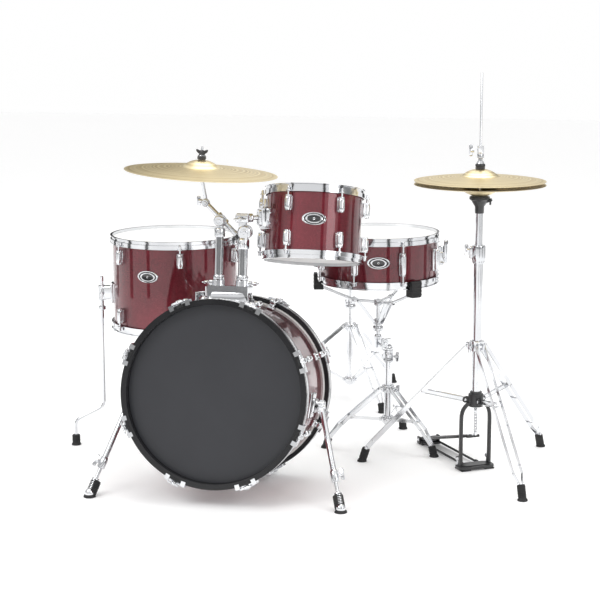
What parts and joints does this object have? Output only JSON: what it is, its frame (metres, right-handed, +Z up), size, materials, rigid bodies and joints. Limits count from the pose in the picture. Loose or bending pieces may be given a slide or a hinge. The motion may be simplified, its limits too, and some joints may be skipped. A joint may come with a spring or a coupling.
{
  "type": "acoustic drum kit",
  "caption": "Acoustic drum kit with bass, rack, floor and snare drums, boom-mounted crash, hi-hat on a folding tripod stand, kick pedal and throne.",
  "frame": {"origin": "on the floor under the centre of the kit's bounding box", "axes": "+Z up; -Y is the audience side that the bass drum's front head faces; +Y runs to the drummer's throne; +X is the hi-hat side"},
  "size_m": [1.3592, 1.5392, 1.092],
  "materials": {
    "wine_wrap": "wine-red metallic gloss wrap",
    "charcoal_head": "dark satin drum film",
    "coated_head": "white coated drum film",
    "black_lacquer": "gloss black lacquer over wood, pale inlay",
    "chrome": "polished chrome",
    "bronze": "lathed cymbal bronze",
    "felt": "pressed felt",
    "black_rubber": "matte moulded rubber",
    "black_metal": "semi-gloss black paint",
    "black_plastic": "moulded black plastic",
    "cast_alloy": "satin cast footboard",
    "black_vinyl": "grained black vinyl"
  },
  "bodies": {
    "stands": {"bass_shell": "wine_wrap", "bass_front_head": "charcoal_head", "bass_batter_head": "coated_head", "bass_hoops": "black_lacquer", "bass_lugs": "chrome", "bass_brackets": "chrome", "floor_tom_legs": "chrome", "rubber_feet": "black_rubber", "snare_stand_base": "chrome", "hihat_tube": "chrome", "hihat_frame": "black_metal", "throne_base": "chrome", "kick_frame": "black_metal"},
    "right_spur": {"spur_right": "chrome"},
    "left_spur": {"spur_left": "chrome"},
    "tom_post": {"tom_post": "chrome"},
    "tom_arm": {"tom_arm": "chrome"},
    "rack_tom": {"tom_bracket": "chrome", "tom_shell": "wine_wrap", "tom_heads": "coated_head", "tom_hoops": "chrome", "tom_lugs": "chrome"},
    "cymbal_post": {"cymbal_post": "chrome"},
    "boom_clamp": {"boom_clamp": "chrome"},
    "boom": {"boom_tube": "chrome"},
    "tilter": {"cymbal_tilter": "chrome", "crash_felts": "felt"},
    "crash": {"crash_cymbal": "bronze"},
    "floor_tom": {"floor_tom_shell": "wine_wrap", "floor_tom_heads": "coated_head", "floor_tom_hoops": "chrome", "floor_tom_lugs": "chrome"},
    "snare_post": {"snare_stand_post": "chrome"},
    "snare": {"snare_basket": "chrome", "snare_basket_grips": "black_rubber", "snare_shell": "wine_wrap", "snare_heads": "coated_head", "snare_hoops": "chrome", "snare_lugs": "chrome", "snare_strainer": "chrome"},
    "strainer_lever": {"snare_strainer_lever": "chrome"},
    "hihat_collar": {"hihat_collar": "chrome"},
    "hihat_leg_front": {"hihat_leg_front": "chrome"},
    "hihat_leg_rear": {"hihat_leg_rear": "chrome"},
    "hihat_leg_side": {"hihat_leg_side": "chrome"},
    "hihat_brace_front": {"hihat_brace_front": "chrome"},
    "hihat_brace_rear": {"hihat_brace_rear": "chrome"},
    "hihat_brace_side": {"hihat_brace_side": "chrome"},
    "hihat_upper": {"hihat_upper_tube": "chrome", "hihat_seat": "black_plastic", "hihat_bottom_cymbal": "bronze"},
    "hihat_rod": {"hihat_rod": "chrome"},
    "hihat_top": {"hihat_clutch": "chrome", "hihat_top_cymbal": "bronze"},
    "hihat_footboard": {"hihat_footboard": "black_metal"},
    "seat_post": {"throne_seat_post": "chrome"},
    "seat": {"throne_seat_bracket": "black_metal", "throne_seat": "black_vinyl"},
    "kick_footboard": {"kick_footboard": "cast_alloy"},
    "kick_beater": {"kick_beater": "chrome"}
  },
  "joints": [
    {"name": "right_spur_fold", "type": "hinge", "parent": "stands", "child": "right_spur", "pos_m": [0.13467, -0.59406, 0.24017], "axis": [0.9925, -0.0168, -0.1207], "range_deg": [0, 100]},
    {"name": "left_spur_fold", "type": "hinge", "parent": "stands", "child": "left_spur", "pos_m": [-0.38344, -0.59406, 0.24017], "axis": [0.9925, 0.0168, 0.1207], "range_deg": [0, 100]},
    {"name": "tom_post_height", "type": "slide", "parent": "stands", "child": "tom_post", "axis": [0, 0.1374, 0.9905], "range_m": [-0.04, 0.008]},
    {"name": "tom_arm_tilt", "type": "hinge", "parent": "tom_post", "child": "tom_arm", "pos_m": [-0.08813, -0.50866, 0.681], "axis": [0, 1, 0], "range_deg": [-4, 12]},
    {"name": "tom_tilt", "type": "hinge", "parent": "tom_arm", "child": "rack_tom", "pos_m": [-0.0535, -0.47732, 0.717], "axis": [0.8783, 0.478, 0], "range_deg": [-10, 10]},
    {"name": "cymbal_post_height", "type": "slide", "parent": "stands", "child": "cymbal_post", "axis": [0, 0.1374, 0.9905], "range_m": [-0.005, 0.045]},
    {"name": "boom_swing", "type": "hinge", "parent": "cymbal_post", "child": "boom_clamp", "pos_m": [-0.15663, -0.51205, 0.71], "axis": [0, 1, 0], "range_deg": [-25, 2]},
    {"name": "boom_reach", "type": "slide", "parent": "boom_clamp", "child": "boom", "axis": [-0.7071, 0, 0.7071], "range_m": [-0.005, 0.05]},
    {"name": "crash_tilt", "type": "hinge", "parent": "boom", "child": "tilter", "pos_m": [-0.20047, -0.48605, 0.75384], "axis": [0, 1, 0], "range_deg": [-18, 2]},
    {"name": "crash_rock", "type": "hinge", "parent": "tilter", "child": "crash", "pos_m": [-0.21037, -0.48605, 0.86594], "axis": [1, 0, 0], "range_deg": [-4, 4], "stiffness_Nm_per_rad": 1.5},
    {"name": "floor_tom_height", "type": "slide", "parent": "stands", "child": "floor_tom", "axis": [0, 0, 1], "range_m": [-0.04, 0.04]},
    {"name": "snare_height", "type": "slide", "parent": "stands", "child": "snare_post", "axis": [0, 0, 1], "range_m": [0, 0.08]},
    {"name": "snare_tilt", "type": "hinge", "parent": "snare_post", "child": "snare", "pos_m": [0.21182, -0.05485, 0.305], "axis": [-0.6163, 0.7875, 0], "range_deg": [-8, 8]},
    {"name": "strainer_throw", "type": "hinge", "parent": "snare", "child": "strainer_lever", "pos_m": [0.38612, -0.0362, 0.5552], "axis": [-0.1547, 0.988, 0], "range_deg": [0, 75]},
    {"name": "hihat_collar_slide", "type": "slide", "parent": "stands", "child": "hihat_collar", "axis": [0, 0, 1], "range_m": [0, 0.06]},
    {"name": "hihat_leg_front_fold", "type": "hinge", "parent": "hihat_collar", "child": "hihat_leg_front", "pos_m": [0.51286, -0.27063, 0.349], "axis": [0.8771, 0.4802, 0], "range_deg": [0, 7.49]},
    {"name": "hihat_brace_front_fold", "type": "hinge", "parent": "stands", "child": "hihat_brace_front", "pos_m": [0.51502, -0.27457, 0.196], "axis": [0.8771, 0.4802, 0], "range_deg": [-24.17, 0]},
    {"name": "hihat_leg_rear_fold", "type": "hinge", "parent": "hihat_collar", "child": "hihat_leg_rear", "pos_m": [0.51377, -0.2308, 0.349], "axis": [-0.8545, 0.5195, 0], "range_deg": [0, 7.49]},
    {"name": "hihat_brace_rear_fold", "type": "hinge", "parent": "stands", "child": "hihat_brace_rear", "pos_m": [0.5161, -0.22695, 0.196], "axis": [-0.8545, 0.5195, 0], "range_deg": [-24.17, 0]},
    {"name": "hihat_leg_side_fold", "type": "hinge", "parent": "hihat_collar", "child": "hihat_leg_side", "pos_m": [0.47882, -0.24993, 0.349], "axis": [-0.0227, -0.9997, 0], "range_deg": [0, 7.49]},
    {"name": "hihat_brace_side_fold", "type": "hinge", "parent": "stands", "child": "hihat_brace_side", "pos_m": [0.47432, -0.24983, 0.196], "axis": [-0.0227, -0.9997, 0], "range_deg": [-24.17, 0]},
    {"name": "hihat_height", "type": "slide", "parent": "stands", "child": "hihat_upper", "axis": [0, 0, 1], "range_m": [-0.08, 0.08]},
    {"name": "hihat_pedal", "type": "hinge", "parent": "stands", "child": "hihat_footboard", "pos_m": [0.34244, -0.01057, 0.015], "axis": [0.8329, 0.5534, 0], "range_deg": [0, 1.71], "stiffness_Nm_per_rad": 64.7, "springref_deg": -5.73},
    {"name": "hihat_rod_pull", "type": "slide", "parent": "stands", "child": "hihat_rod", "axis": [0, 0, 1], "range_m": [-0.0087, 0]},
    {"name": "hihat_top_drop", "type": "slide", "parent": "hihat_upper", "child": "hihat_top", "axis": [0, 0, 1], "range_m": [-0.0087, 0]},
    {"name": "seat_height", "type": "slide", "parent": "stands", "child": "seat_post", "axis": [0, 0, 1], "range_m": [-0.06, 0.1]},
    {"name": "seat_turn", "type": "hinge", "parent": "seat_post", "child": "seat", "pos_m": [0.01262, 0.53295, 0.425], "axis": [0, 0, 1], "continuous": true},
    {"name": "kick_pedal", "type": "hinge", "parent": "stands", "child": "kick_footboard", "pos_m": [-0.12438, -0.11805, 0.018], "axis": [1, 0, 0], "range_deg": [0, 3.4], "stiffness_Nm_per_rad": 14.2, "springref_deg": -4.58},
    {"name": "kick_beater_swing", "type": "hinge", "parent": "stands", "child": "kick_beater", "pos_m": [-0.12438, -0.37205, 0.158], "axis": [1, 0, 0], "range_deg": [0, 37.5]}
  ],
  "couplings": [
    {"joint": "hihat_leg_front_fold", "follows": "hihat_collar_slide", "rad_per_m": 2.0342},
    {"joint": "hihat_brace_front_fold", "follows": "hihat_collar_slide", "rad_per_m": -6.8841},
    {"joint": "hihat_leg_rear_fold", "follows": "hihat_collar_slide", "rad_per_m": 2.0342},
    {"joint": "hihat_brace_rear_fold", "follows": "hihat_collar_slide", "rad_per_m": -6.8841},
    {"joint": "hihat_leg_side_fold", "follows": "hihat_collar_slide", "rad_per_m": 2.0342},
    {"joint": "hihat_brace_side_fold", "follows": "hihat_collar_slide", "rad_per_m": -6.8841},
    {"joint": "hihat_rod_pull", "follows": "hihat_pedal", "m_per_rad": -0.288},
    {"joint": "hihat_top_drop", "follows": "hihat_pedal", "m_per_rad": -0.288},
    {"joint": "kick_beater_swing", "follows": "kick_pedal", "ratio": 11}
  ]
}
